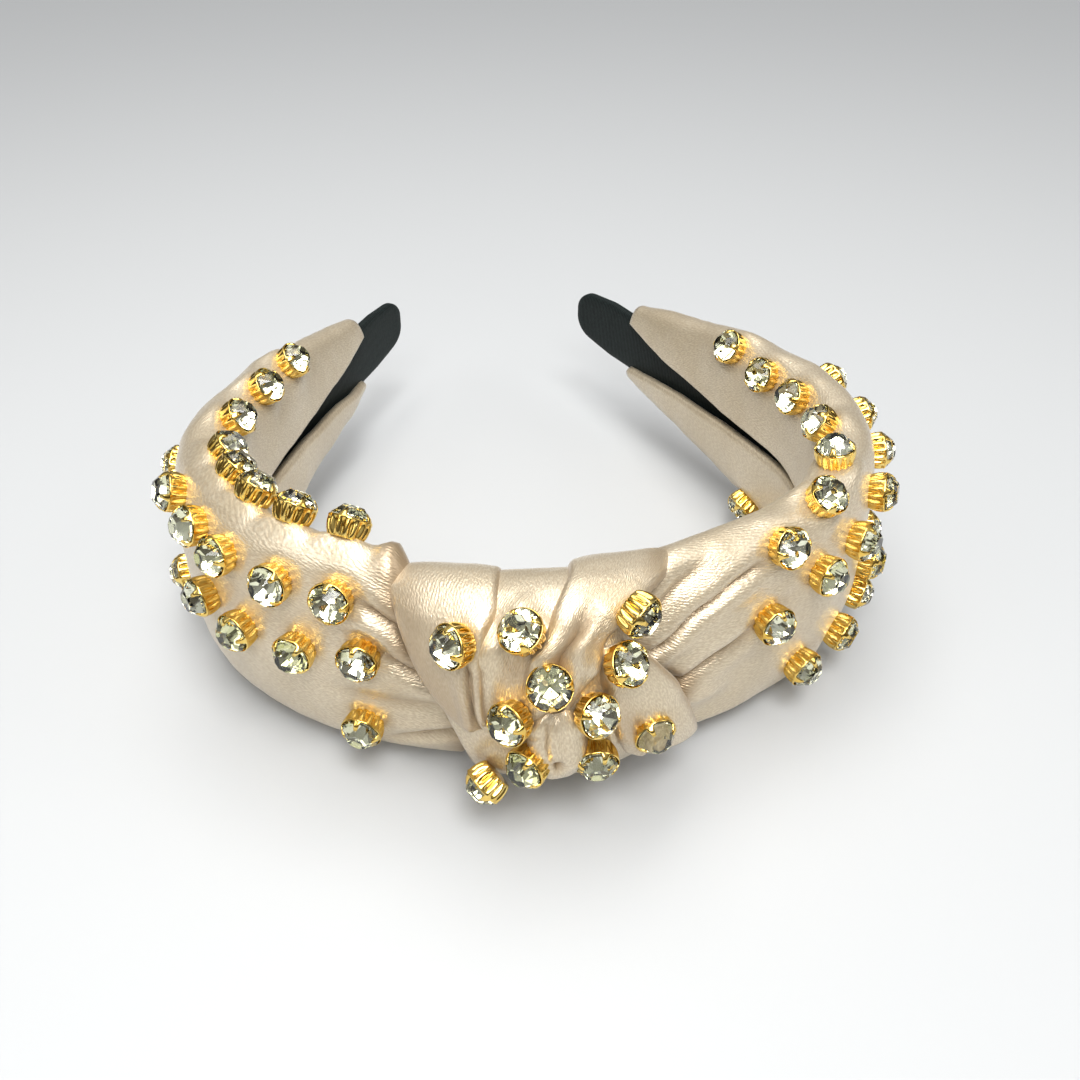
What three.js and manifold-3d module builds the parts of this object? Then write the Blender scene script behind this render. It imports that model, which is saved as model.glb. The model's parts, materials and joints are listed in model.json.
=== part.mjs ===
// Knotted headband: a springy plastic core in a black ribbon, padded satin arms, a satin knot at the
// crown and sewn-on crystals in gold cups. Millimetres, +Z up. The band lies on its side, with the knot
// towards -Y and the two tips towards +Y. The origin is under the middle of the whole object.
import * as THREE from 'three';
import { mergeVertices } from 'three/addons/utils/BufferGeometryUtils.js';
import Module from 'manifold-3d';

const wasm = await Module();
wasm.setup();

// ---------------------------------------------------------------- driving dimensions
// Centre line of the core from the crown to one tip: arcs of [radius, turn in degrees], end to end.
const BAND_ARCS = [[82, 34], [39.5, 76], [600, 7.6], [50, 24]];
const MID_PLANE_HEIGHT = 25.812; // the core's middle above the ground
const CENTRE_Y = 57.386; // the crown's distance in front of the origin

const CORE = { thickness: 1.6, height: 14, end: 185.4 };
const RIBBON = { thickness: 3.0, height: 15.4, wall: 0.4, end: 187.2 };
const FIT_GAP = 0.32; // between pieces that touch on the real object
const WELD_DISTANCE = 1e-4; // points nearer than this become one
const TIP_TAPER = { start: 172, height: 12, flat: 0.02 }; // the strip narrows towards its rounded end

const TIP_STEPS = [7, 4.5, 2.5, 1, 0]; // stations before the strip's end

const FLEX_AT = 41; // the flex line between the crown and each arm, along the core
const STRIP_CUT = 0.6; // corner cut of the strip's section, as a share of half its thickness
const STRIP_GAP = 0.8; // left open at the flex line in the core and the ribbon
const COVER_GAP = 1.9; // left open at the flex line in the thick satin cover

// The satin arm cover along the core: distance, then its reach up, down, outwards and inwards from the
// core's middle, then the width of the slit on its inner face.
const COVER_SIZES = [
  [16, 19.0, 21.4, 7.2, 4.2, 2.4],
  [34, 20.4, 21.6, 7.4, 4.2, 2.4],
  [60, 21.1, 20.8, 7.6, 4.2, 3.0],
  [90, 21.4, 19.9, 7.5, 4.1, 3.4],
  [120, 19.2, 16.7, 6.6, 3.9, 5.0],
  [145, 13.6, 12.2, 4.6, 3.4, 9.0],
  [162, 10.6, 9.7, 3.5, 3.2, 14.5],
];
const COVER_END = 162;
const COVER_WALL = 0.7;
const COVER_POWER = 2.6; // squareness of the rolled section
const FOAM = { start: 43, end: 136, inset: 1.25, back: 2.1, halfAngle: 75, leastDepth: 0.2 };

// The knot's outer skin around the band.
// It is lower and shallower towards its sides, by droop and shoulder at halfWidth from its middle.
const KNOT = {
  top: 20.8, bottom: -20.5, front: 17, back: 4.4, middle: -3, halfWidth: 24, shoulder: 6, droop: 3,
};
const KNOT_POWER = 2.4;
const KNOT_HOLE = { halfHeight: 8.1, front: 1.9, back: 1.9 };
// Edges of the wraps around the knot: [angle in degrees, distance along the band]. The angle is 0 at
// the front, 90 at the top and 180 on the inner face.
const WRAP_EDGES = [
  [[-120, -22], [-88, -18], [-55, -16], [-21, -15], [-2, -17], [10, -21], [49, -25], [90, -28], [180, -25]],
  [[-120, -10], [-55, -9], [-2, -10.5], [22, -13], [58, -11], [90, -11], [180, -11]],
  [[-120, -1], [-55, -3], [-2, -5], [24, -6], [58, -4], [90, -1], [180, 0]],
  [[-120, 8], [-55, 3], [10, 1], [37, 3], [63, 9], [90, 15], [180, 12]],
  [[-120, 18], [-55, 20], [-32, 21], [10, 15], [37, 10.5], [50, 9.5], [63, 13], [90, 18.5], [180, 17]],
];
const WRAP_GAP = 0.6; // between one wrap of the knot and the next
const GATHER_GAP = 2.6; // between the knot and the gathered satin that runs into it
const GATHER_SPREAD = [-24, 0, 24]; // degrees either side over which the gathered satin keeps clear
const WRAP_NAMES = ['knot_wrap_left', 'knot_wrap_centre', 'knot_wrap_right', 'knot_fold_lower_right'];
const TONGUE = {
  along: -1.45, angle: -13, halfWidth: 1.8, halfLength: 4.6, halfThickness: 1.7, slopeStep: 0.1,
};

// One crystal: a fluted cup with a cut stone in it.
const CUP = { foot: 3.0, rim: 3.95, height: 3.7, wall: 0.35, floor: 0.5 };
const STONE = { girdle: 3.3, girdleHeight: 3.7, table: 2.1, top: 6.0, point: 0.95 };
const CUP_SIDES = 10;
const ROW_SIDES = 8;
const CRYSTAL_LIFT = 0.4; // cup foot above the satin
const THREAD = { lift: 0.95, radius: 0.42, stepsPerGap: 3 };

// Rows of crystals beside the knot: [distance along the core, section angle in degrees], then any lean
// towards the head in degrees. A crystal before the flex line sits on the crown, the others on the arm.
const ROWS = {
  left: {
    upper: [
      [38.5, 99, 26], [49.5, 98, 24], [60, 100, 20], [69.5, 104, 16], [78.5, 107, 12],
      [95, 116], [110, 115], [124, 113],
    ],
    front_high: [[37, 42], [48, 41], [58.5, 43], [66, 48], [75.5, 50], [94, 21], [107, 0]],
    front_low: [[33, 8], [44.5, 3], [55.5, 2], [63.8, 6], [85.5, -24], [98, -44]],
    lower: [[34, -32], [49, -112], [60, -110], [71, -110], [82, -112], [95, -114], [108, -114]],
  },
  right: {
    upper: [[38.5, 55], [50, 76], [62, 95], [77.5, 117], [94.5, 128], [107, 127], [120, 119]],
    front_high: [[36, 6], [48, 18], [57.5, 22], [67.5, 33], [81, 30], [90.5, 35], [100, 46]],
    front_low: [[47, -36], [59, -38], [70, -36], [68.5, -7], [80, -12], [91, -16], [102, -20]],
    lower: [[49, -112], [60, -110], [71, -110], [82, -112], [95, -114], [108, -114]],
  },
};
// Crystals on the knot: distance along the band, angle around it, and the way the stone faces.
const KNOT_CRYSTALS = [
  { along: -15, angle: 45, aim: [-0.8, -0.5, 0.3] },
  { along: -6.6, angle: 50, aim: [-0.4, -0.38, 0.82] },
  { along: -3.8, angle: 22, aim: [-0.12, -0.78, 0.62] },
  { along: 7.0, angle: 64, aim: [0.62, -0.62, -0.25] },
  { along: 5.2, angle: 29, aim: [0.5, -0.6, 0.62] },
  { along: 1.4, angle: 6, aim: [0.42, -0.8, 0.42] },
  { along: -7.8, angle: 6, aim: [-0.7, -0.7, 0.2] },
  { along: -5.5, angle: -15, aim: [-0.71, -0.74, -0.02] },
  { along: -10.8, angle: -31, aim: [-0.8, -0.35, -0.5] },
  { along: 2.9, angle: -16, aim: [-0.05, -0.97, -0.2] },
  { along: 11, angle: -11, aim: [0.25, -0.95, -0.05] },
];

const SATIN = { color: 0xd9c6b1, roughness: 0.38, metalness: 0 };
const BLACK_RIBBON = { color: 0x0b1110, roughness: 0.8, metalness: 0 };
const PLASTIC = { color: 0x1a1a1a, roughness: 0.5, metalness: 0 };
const FOAM_WHITE = { color: 0xf0ede4, roughness: 0.95, metalness: 0 };
const GOLD = { color: 0xe0a93a, roughness: 0.2, metalness: 1 };
const CRYSTAL = { color: 0xe9edd6, roughness: 0.05, metalness: 0 };

// ---------------------------------------------------------------- small helpers
const radians = THREE.MathUtils.degToRad;
const signedPower = (value, power) => Math.sign(value) * Math.abs(value) ** power;

/** Reads column `column` of a table whose first column rises, between its rows. */
function tableValue(table, at, column = 1) {
  if (at <= table[0][0]) return table[0][column];
  for (let i = 1; i < table.length; i += 1) {
    if (at <= table[i][0]) {
      const share = (at - table[i - 1][0]) / (table[i][0] - table[i - 1][0]);
      return THREE.MathUtils.lerp(table[i - 1][column], table[i][column], share);
    }
  }
  return table[table.length - 1][column];
}

/** count + 1 even steps from `from` to `to`. */
function steps(from, to, count) {
  return Array.from({ length: count + 1 }, (_, i) => from + ((to - from) * i) / count);
}

/** The core's centre line: position and heading at a signed distance from the crown. */
function bandAt(distance) {
  const side = distance < 0 ? -1 : 1;
  let left = Math.abs(distance);
  let heading = 0;
  let x = 0;
  let y = 0;
  for (const [radius, turn] of BAND_ARCS) {
    const length = Math.min(left, radius * radians(turn));
    const next = heading + length / radius;
    x += radius * (Math.sin(next) - Math.sin(heading));
    y += radius * (Math.cos(heading) - Math.cos(next));
    heading = next;
    left -= length;
    if (left <= 0) break;
  }
  return { x: side * x, y, heading: side * heading };
}

/** A point beside the centre line: `out` is away from the head, `up` is along +Z. */
function bandPoint(distance, out, up) {
  const { x, y, heading } = bandAt(distance);
  return new THREE.Vector3(x + out * Math.sin(heading), y - out * Math.cos(heading), up);
}

// ---------------------------------------------------------------- closed meshes
/** A closed body from points and triangles, turned so that its faces point out. */
function bodyOf(points, triangles) {
  let volume = 0;
  for (const [a, b, c] of triangles) {
    volume += points[a].dot(points[b].clone().cross(points[c]));
  }
  const facing = volume < 0 ? triangles.map(([a, b, c]) => [a, c, b]) : triangles;
  const geometry = new THREE.BufferGeometry();
  geometry.setAttribute('position', new THREE.Float32BufferAttribute(points.flatMap((p) => p.toArray()), 3));
  geometry.setIndex(facing.flat());
  return geometry;
}

/** A fan over a ring that starts at point `first`. */
function fanCap(first, count) {
  return Array.from({ length: count - 2 }, (_, i) => [first, first + i + 1, first + i + 2]);
}

/** A strip over the end of an open C section, whose second half runs back along its first. */
function stripCap(first, count) {
  const cap = [];
  for (let i = 0; i < count / 2 - 1; i += 1) {
    const across = count - 1 - i;
    cap.push([first + i, first + i + 1, first + across - 1]);
    cap.push([first + i, first + across - 1, first + across]);
  }
  return cap;
}

/** Joins rings of equal length into one body; with no cap, the last ring joins the first. */
function loft(rings, cap = fanCap) {
  const size = rings[0].length;
  const triangles = [];
  const joins = cap ? rings.length - 1 : rings.length;
  for (let r = 0; r < joins; r += 1) {
    const here = r * size;
    const next = ((r + 1) % rings.length) * size;
    for (let i = 0; i < size; i += 1) {
      const j = (i + 1) % size;
      if (next > here) {
        triangles.push([here + i, here + j, next + j]);
        triangles.push([here + i, next + j, next + i]);
      } else {
        // The closing side is split along its other diagonal, so that it lies flush with the
        // neighbouring loop's first side.
        triangles.push([here + i, here + j, next + i]);
        triangles.push([here + j, next + j, next + i]);
      }
    }
  }
  if (cap) {
    triangles.push(...cap(0, size).map(([a, b, c]) => [a, c, b]));
    triangles.push(...cap((rings.length - 1) * size, size));
  }
  return bodyOf(rings.flat(), triangles);
}

/** A closed body from one of three.js's own geometries, with its double points joined. */
function weldedBody(geometry) {
  geometry.deleteAttribute('normal');
  geometry.deleteAttribute('uv');
  const merged = mergeVertices(geometry, WELD_DISTANCE);
  const index = merged.index.array;
  const position = merged.attributes.position;
  const points = Array.from({ length: position.count }, (_, i) => (
    new THREE.Vector3().fromBufferAttribute(position, i)));
  const triangles = [];
  for (let i = 0; i < index.length; i += 3) {
    const [a, b, c] = index.slice(i, i + 3);
    if (a !== b && b !== c && c !== a) triangles.push([a, b, c]);
  }
  return bodyOf(points, triangles);
}

/** A turned body about +Z from [radius, height] points that start and end on the axis. */
function turned(profile, sides) {
  const lathe = new THREE.LatheGeometry(profile.map(([r, h]) => new THREE.Vector2(r, h)), sides);
  lathe.rotateX(Math.PI / 2);
  return weldedBody(lathe);
}

/** Joins bodies that touch into one. */
function joined(geometries) {
  const solids = geometries.map((geometry) => new wasm.Manifold(new wasm.Mesh({
    numProp: 3,
    vertProperties: new Float32Array(geometry.attributes.position.array),
    triVerts: new Uint32Array(geometry.index.array),
  })));
  const whole = solids.reduce((sum, solid) => sum.add(solid));
  const mesh = whole.getMesh();
  const geometry = new THREE.BufferGeometry();
  geometry.setAttribute('position', new THREE.Float32BufferAttribute(mesh.vertProperties, 3));
  geometry.setIndex(Array.from(mesh.triVerts));
  return geometry;
}

const headband = new THREE.Group();
headband.position.set(0, -CENTRE_Y, MID_PLANE_HEIGHT);

function addPiece(name, geometry, look) {
  const mesh = new THREE.Mesh(geometry, new THREE.MeshStandardMaterial(look));
  mesh.name = name;
  headband.add(mesh);
  return mesh;
}

// ---------------------------------------------------------------- core and ribbon
/** A flat strip's section with cut corners. */
function stripRing(distance, thickness, height) {
  const n = thickness / 2;
  const z = height / 2;
  const cut = n * STRIP_CUT;
  const corners = [
    [n, -z + cut], [n, z - cut], [n - cut, z], [-n + cut, z],
    [-n, z - cut], [-n, -z + cut], [-n + cut, -z], [n - cut, -z],
  ];
  return corners.map(([out, up]) => bandPoint(distance, out, up));
}

/** The strip's height: full along the band, less towards the tip, and rounded at its end. */
function stripHeight(distance, full, end) {
  const along = Math.abs(distance);
  const taper = THREE.MathUtils.clamp((along - TIP_TAPER.start) / (end - TIP_TAPER.start), 0, 1);
  const height = THREE.MathUtils.lerp(full, full - RIBBON.height + TIP_TAPER.height, taper);
  const roundFrom = end - height / 2;
  if (along <= roundFrom) return height;
  const share = Math.min((along - roundFrom) / (height / 2), 1);
  return height * (0.5 + 0.5 * Math.sqrt(Math.max(1 - share * share, TIP_TAPER.flat)));
}

/** Stations along an arm's strip, closer together over its rounded end. */
function stripStations(from, to, count) {
  const body = steps(from, to - TIP_STEPS[0], count);
  return [...body, ...TIP_STEPS.slice(1).map((before) => to - before)];
}

function addCrownStrip() {
  const half = FLEX_AT - STRIP_GAP / 2;
  const core = steps(-half, half, 6).map((s) => stripRing(s, CORE.thickness, CORE.height));
  addPiece('band_core_crown', loft(core), PLASTIC);
  const outside = steps(-half, half, 6).map((s) => stripRing(s, RIBBON.thickness, RIBBON.height));
  const inner = { thickness: RIBBON.thickness - 2 * RIBBON.wall, height: RIBBON.height - 2 * RIBBON.wall };
  const inside = steps(half, -half, 6).map((s) => stripRing(s, inner.thickness, inner.height));
  addPiece('ribbon_wrap_crown', loft([...outside, ...inside], null), BLACK_RIBBON);
}

/** One arm's core strip, and the ribbon round it, sewn shut at the tip. */
function addArmStrip(name, side) {
  const start = FLEX_AT + STRIP_GAP / 2;
  const coreRings = stripStations(start, CORE.end, 13).map((s) => (
    stripRing(side * s, CORE.thickness, stripHeight(s, CORE.height, CORE.end))));
  addPiece(`band_core_${name}`, loft(coreRings), PLASTIC);
  const outer = stripStations(start, RIBBON.end, 13).map((s) => (
    stripRing(side * s, RIBBON.thickness, stripHeight(s, RIBBON.height, RIBBON.end))));
  const wall = 2 * RIBBON.wall;
  const innerEnd = RIBBON.end - 2 * RIBBON.wall;
  const inner = stripStations(start, innerEnd, 13).map((s) => (
    stripRing(side * s, RIBBON.thickness - wall, stripHeight(s, RIBBON.height, RIBBON.end) - wall)));
  addPiece(`ribbon_wrap_${name}`, loft([...outer.reverse(), ...inner]), BLACK_RIBBON);
}

// ---------------------------------------------------------------- arm cover and foam
/** A point of the arm cover's section: angle 0 faces out, 90 up and 180 towards the head. */
function coverPoint(distance, angle, inset = 0) {
  const along = Math.abs(distance);
  const reachUp = tableValue(COVER_SIZES, along, Math.sin(angle) > 0 ? 1 : 2);
  const reachOut = tableValue(COVER_SIZES, along, 3);
  const reachIn = tableValue(COVER_SIZES, along, 4);
  const middle = (reachOut - reachIn) / 2;
  const halfDepth = (reachOut + reachIn) / 2 - inset;
  const power = 2 / COVER_POWER;
  const out = middle + halfDepth * signedPower(Math.cos(angle), power);
  const up = (reachUp - inset) * signedPower(Math.sin(angle), power);
  return { out, up };
}

/** The C section of the cover: its outside one way round and its inside back again. stationAt gives
 * the distance along the band at each angle round the section. */
function coverRing(stationAt, sides) {
  const ring = [];
  const openFor = (distance, share) => {
    const halfSlit = tableValue(COVER_SIZES, Math.abs(distance), 5) / 2;
    const slit = halfSlit / tableValue(COVER_SIZES, Math.abs(distance), share > 0 ? 1 : 2);
    return Math.PI - Math.asin(Math.min(slit, 0.98) ** (COVER_POWER / 2));
  };
  const place = (share, inset) => {
    const nominal = stationAt(share * Math.PI);
    const angle = openFor(nominal, share) * share;
    const distance = stationAt(angle);
    const { out, up } = coverPoint(distance, angle, inset);
    ring.push(bandPoint(distance, out, up));
  };
  const shares = steps(-1, 1, sides);
  shares.forEach((share) => place(share, 0));
  [...shares].reverse().forEach((share) => place(share, COVER_WALL));
  return ring;
}

/** The foam under the cover: a crowned front and a flat back against the ribbon. */
function foamRing(stationAt) {
  const ring = steps(-FOAM.halfAngle, FOAM.halfAngle, 6).map((degrees) => {
    const distance = stationAt(radians(degrees));
    const { out, up } = coverPoint(distance, radians(degrees), COVER_WALL + FOAM.inset);
    return { distance, out: Math.max(out, FOAM.back + FOAM.leastDepth), up };
  });
  const top = ring[ring.length - 1];
  const bottom = ring[0];
  return [...ring, { ...top, out: FOAM.back }, { ...bottom, out: FOAM.back }]
    .map(({ distance, out, up }) => bandPoint(distance, out, up));
}

function addArmPadding(name, side) {
  const cover = steps(FLEX_AT + COVER_GAP / 2, COVER_END, 15).map((s) => coverRing(() => side * s, 14));
  addPiece(`satin_cover_${name}`, loft(cover, stripCap), SATIN);
  const foam = steps(FOAM.start, FOAM.end, 9).map((s) => foamRing(() => side * s));
  addPiece(`foam_pad_${name}`, loft(foam), FOAM_WHITE);
}

/** The gathered satin between the knot's edge and the flex line, and the foam in it. */
function addGather(name, side, edge) {
  const between = (share, margin) => (angle) => {
    const edges = GATHER_SPREAD.map((degrees) => side * wrapEdge(edge, angle + radians(degrees)));
    const start = side * (Math.max(...edges) + GATHER_GAP + margin);
    const end = side * (FLEX_AT - COVER_GAP / 2 - margin);
    return THREE.MathUtils.lerp(start, end, share);
  };
  const satin = steps(0, 1, 3).map((share) => coverRing(between(share, 0), 14));
  addPiece(`satin_gather_${name}`, loft(satin, stripCap), SATIN);
  const foam = steps(0, 1, 2).map((share) => foamRing(between(share, FIT_GAP)));
  addPiece(`foam_gather_${name}`, loft(foam), FOAM_WHITE);
}

// ---------------------------------------------------------------- knot
/** Distance along the band of one wrap edge, at an angle around the knot. */
function wrapEdge(edge, angle) {
  const table = WRAP_EDGES[edge];
  const degrees = THREE.MathUtils.radToDeg(Math.atan2(Math.sin(angle), Math.cos(angle)));
  const last = table[table.length - 1];
  const wrapped = [[-180, last[1]], ...table];
  return tableValue(wrapped, degrees);
}

/** A point of the knot's skin, `proud` of it along the section. */
function knotPoint(distance, angle, proud = 0) {
  const across = (distance - KNOT.middle) / KNOT.halfWidth;
  const front = KNOT.front - KNOT.shoulder * across * across + proud;
  const back = KNOT.back + proud;
  const halfHeight = (KNOT.top - KNOT.bottom) / 2 - KNOT.droop * across * across + proud;
  const power = 2 / KNOT_POWER;
  const out = (front - back) / 2 + ((front + back) / 2) * signedPower(Math.cos(angle), power);
  const up = (KNOT.top + KNOT.bottom) / 2 + halfHeight * signedPower(Math.sin(angle), power);
  return bandPoint(distance, out, up);
}

/** A point on the wall of the hole that the ribbon passes through. */
function knotHolePoint(distance, angle) {
  const reach = 1 / Math.max(Math.abs(Math.cos(angle)), Math.abs(Math.sin(angle)));
  const across = Math.cos(angle) > 0 ? KNOT_HOLE.front : KNOT_HOLE.back;
  const out = THREE.MathUtils.clamp(Math.cos(angle) * reach, -1, 1) * across;
  const up = THREE.MathUtils.clamp(Math.sin(angle) * reach, -1, 1) * KNOT_HOLE.halfHeight;
  return bandPoint(distance, out, up);
}

/** One wrap of the knot: a loop of padded satin round the band, between two slanting edges. */
function addWrap(name, edge) {
  const angles = steps(-180, 165, 23).map(radians);
  const at = (share, angle) => THREE.MathUtils.lerp(
    wrapEdge(edge, angle) + WRAP_GAP / 2, wrapEdge(edge + 1, angle) - WRAP_GAP / 2, share);
  const outside = steps(0, 1, 3).map((share) => angles.map((angle) => knotPoint(at(share, angle), angle)));
  const inside = steps(1, 0, 2).map((share) => angles.map((angle) => knotHolePoint(at(share, angle), angle)));
  addPiece(name, loft([...outside, ...inside], null), SATIN);
}

function addTongue() {
  const middle = radians(TONGUE.angle);
  const tongue = new THREE.SphereGeometry(1, 12, 8);
  tongue.scale(TONGUE.halfWidth, TONGUE.halfThickness, TONGUE.halfLength);
  const place = knotPoint(TONGUE.along, middle, TONGUE.halfThickness + 2 * FIT_GAP);
  const below = knotPoint(TONGUE.along, middle - TONGUE.slopeStep);
  const above = knotPoint(TONGUE.along, middle + TONGUE.slopeStep);
  tongue.rotateX(Math.atan2(above.y - below.y, above.z - below.z) * -1);
  tongue.translate(place.x, place.y, place.z);
  addPiece('knot_tongue', weldedBody(tongue), SATIN);
}

// ---------------------------------------------------------------- crystals
/** Turns a body about +Z to face `aim` and sets its foot at `foot`. */
function aimed(geometry, foot, aim) {
  const turn = new THREE.Quaternion().setFromUnitVectors(new THREE.Vector3(0, 0, 1), aim);
  geometry.applyQuaternion(turn);
  geometry.translate(foot.x, foot.y, foot.z);
  return geometry;
}

function cupBody() {
  const inner = CUP.wall;
  return turned([
    [0, 0], [CUP.foot, 0], [CUP.rim, CUP.height], [CUP.rim - inner, CUP.height],
    [CUP.foot - inner, CUP.floor], [0, CUP.floor],
  ], CUP_SIDES);
}

function stoneBody() {
  return turned([
    [0, STONE.point], [STONE.girdle, STONE.girdleHeight], [STONE.table, STONE.top], [0, STONE.top],
  ], CUP_SIDES);
}

/** A cup and its stone as one body, for the rows. */
function crystalBody() {
  return turned([
    [0, 0], [CUP.foot, 0], [CUP.rim, CUP.height], [STONE.table, STONE.top], [0, STONE.top],
  ], ROW_SIDES);
}

/** The outward direction of a surface given by point(u, v), at a place and off it. */
function outward(point, u, v, du, dv) {
  const alongU = point(u + du, v).sub(point(u - du, v));
  const alongV = point(u, v + dv).sub(point(u, v - dv));
  return alongU.cross(alongV).normalize();
}

const coverSurface = (distance, angle) => {
  const { out, up } = coverPoint(distance, angle);
  return bandPoint(distance, out, up);
};

/** The foot of a crystal over the arm cover, lifted off the satin, and the way it faces. */
function coverSeat({ along, angle, lean }, lift) {
  const normal = outward(coverSurface, along, angle, 0.5, 0.05);
  const inward = bandPoint(along, -1, 0).sub(bandPoint(along, 0, 0));
  inward.addScaledVector(normal, -inward.dot(normal)).normalize();
  const aim = normal.clone().multiplyScalar(Math.cos(lean)).addScaledVector(inward, Math.sin(lean));
  const foot = coverSurface(along, angle).addScaledVector(normal, lift + CUP.foot * Math.sin(lean));
  return { foot, aim };
}

/** One row of crystals: the first on its own, the others held together by their sewing thread. */
function addCrystalRow(row, name, side) {
  const places = ROWS[name][row].map(([along, angle, lean = 0]) => (
    { along: side * along, angle: radians(angle), lean: radians(lean) }));
  const bodies = places.map((place) => {
    const { foot, aim } = coverSeat(place, CRYSTAL_LIFT);
    return aimed(crystalBody(), foot, aim);
  });
  const onCrown = Math.abs(places[0].along) < FLEX_AT ? 1 : 0;
  if (onCrown) addPiece(`crystal_${row}_${name}_first`, bodies[0], CRYSTAL);
  const threaded = places.slice(onCrown);
  const route = [];
  for (let i = 1; i < threaded.length; i += 1) {
    for (let k = i === 1 ? 0 : 1; k <= THREAD.stepsPerGap; k += 1) {
      const share = k / THREAD.stepsPerGap;
      const along = THREE.MathUtils.lerp(threaded[i - 1].along, threaded[i].along, share);
      const angle = THREE.MathUtils.lerp(threaded[i - 1].angle, threaded[i].angle, share);
      const lean = THREE.MathUtils.lerp(threaded[i - 1].lean, threaded[i].lean, share);
      route.push(coverSeat({ along, angle, lean }, THREAD.lift));
    }
  }
  const rings = route.map(({ foot, aim }, i) => {
    const ahead = route[Math.min(i + 1, route.length - 1)].foot;
    const behind = route[Math.max(i - 1, 0)].foot;
    const across = ahead.clone().sub(behind).normalize().cross(aim).normalize();
    return steps(45, 315, 3).map((turn) => foot.clone()
      .addScaledVector(aim, THREAD.radius * Math.sin(radians(turn)))
      .addScaledVector(across, THREAD.radius * Math.cos(radians(turn))));
  });
  addPiece(`crystal_row_${row}_${name}`, joined([...bodies.slice(onCrown), loft(rings)]), CRYSTAL);
}

function addKnotCrystal({ along, angle, aim }, number) {
  const direction = new THREE.Vector3(...aim).normalize();
  const surface = (distance, turn) => knotPoint(distance, turn);
  const normal = outward(surface, along, radians(angle), 0.5, 0.05);
  const lean = direction.angleTo(normal);
  const foot = knotPoint(along, radians(angle))
    .addScaledVector(normal, CRYSTAL_LIFT + CUP.foot * Math.sin(lean));
  const label = String(number).padStart(2, '0');
  addPiece(`knot_crystal_cup_${label}`, aimed(cupBody(), foot, direction), GOLD);
  addPiece(`knot_crystal_stone_${label}`, aimed(stoneBody(), foot, direction), CRYSTAL);
}

// ---------------------------------------------------------------- assembly
addCrownStrip();
WRAP_NAMES.forEach((name, edge) => addWrap(name, edge));
addTongue();
addGather('left', -1, 0);
addGather('right', 1, WRAP_EDGES.length - 1);
for (const [name, side] of [['left', -1], ['right', 1]]) {
  addArmStrip(name, side);
  addArmPadding(name, side);
  Object.keys(ROWS[name]).forEach((row) => addCrystalRow(row, name, side));
}
KNOT_CRYSTALS.forEach((crystal, i) => addKnotCrystal(crystal, i + 1));

export default headband;
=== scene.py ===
# Knotted headband in champagne satin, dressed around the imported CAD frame. Lengths below are in
# millimetres along and around the band; place() turns them into metres in the row frame.
import bpy
import json
import math
import numpy as np
from mathutils import Matrix, Vector, noise


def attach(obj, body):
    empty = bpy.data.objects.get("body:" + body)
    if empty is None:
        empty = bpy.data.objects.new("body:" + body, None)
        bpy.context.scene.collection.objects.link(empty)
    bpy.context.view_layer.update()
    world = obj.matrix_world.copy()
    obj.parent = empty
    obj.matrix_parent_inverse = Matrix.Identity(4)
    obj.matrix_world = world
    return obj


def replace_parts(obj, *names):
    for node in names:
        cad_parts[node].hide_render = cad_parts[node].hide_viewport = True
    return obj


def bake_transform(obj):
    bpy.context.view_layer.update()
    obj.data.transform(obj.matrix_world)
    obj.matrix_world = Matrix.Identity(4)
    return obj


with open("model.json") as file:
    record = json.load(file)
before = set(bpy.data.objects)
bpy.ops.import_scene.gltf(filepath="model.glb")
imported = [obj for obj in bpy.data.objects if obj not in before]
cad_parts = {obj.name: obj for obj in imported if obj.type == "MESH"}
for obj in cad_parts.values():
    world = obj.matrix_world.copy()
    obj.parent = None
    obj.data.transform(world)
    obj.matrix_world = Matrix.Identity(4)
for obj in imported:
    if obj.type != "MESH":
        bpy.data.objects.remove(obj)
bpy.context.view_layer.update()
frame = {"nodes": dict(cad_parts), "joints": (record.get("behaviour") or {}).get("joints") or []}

MM = 0.001

# ---- driving sizes, as in the CAD
# The core's centre line from the crown to a tip: each arc's radius and its degrees.
BAND_ARCS = [(82, 34), (39.5, 76), (600, 7.6), (50, 24)]
BAND_REACH, BAND_STEP = 190, 0.25
RIBBON_HALF_THICK = 1.5
RIBBON_HEIGHT = 15.4
RIBBON_END = 187.2
TIP_TAPER_START = 172
TIP_HEIGHT = 12
FLEX_AT = 41

# Arm cover: distance along the core, then its reach up, down, out and in, and the slit's width.
COVER_SIZES = np.array([
    [16, 19.0, 21.4, 7.2, 4.2, 2.4],
    [34, 20.4, 21.6, 7.4, 4.2, 2.4],
    [60, 21.1, 20.8, 7.6, 4.2, 3.0],
    [90, 21.4, 19.9, 7.5, 4.1, 3.4],
    [120, 19.2, 16.7, 6.6, 3.9, 5.0],
    [145, 13.6, 12.2, 4.6, 3.4, 9.0],
    [162, 10.6, 9.7, 3.5, 3.2, 14.5],
])
UP, DOWN, OUT, IN, SLIT = 1, 2, 3, 4, 5
COVER_POWER = 2.6

# The knot's skin: its reach each way, and how far its front and top fall off towards its edges.
KNOT_TOP, KNOT_BOTTOM = 20.8, -20.5
KNOT_FRONT, KNOT_BACK = 17, 4.4
KNOT_MIDDLE, KNOT_HALF_WIDTH, KNOT_SHOULDER, KNOT_DROOP = -3, 24, 6, 3
KNOT_POWER = 2.4

CRYSTAL_LIFT = 0.4
CUP_FOOT = 3.0

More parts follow.
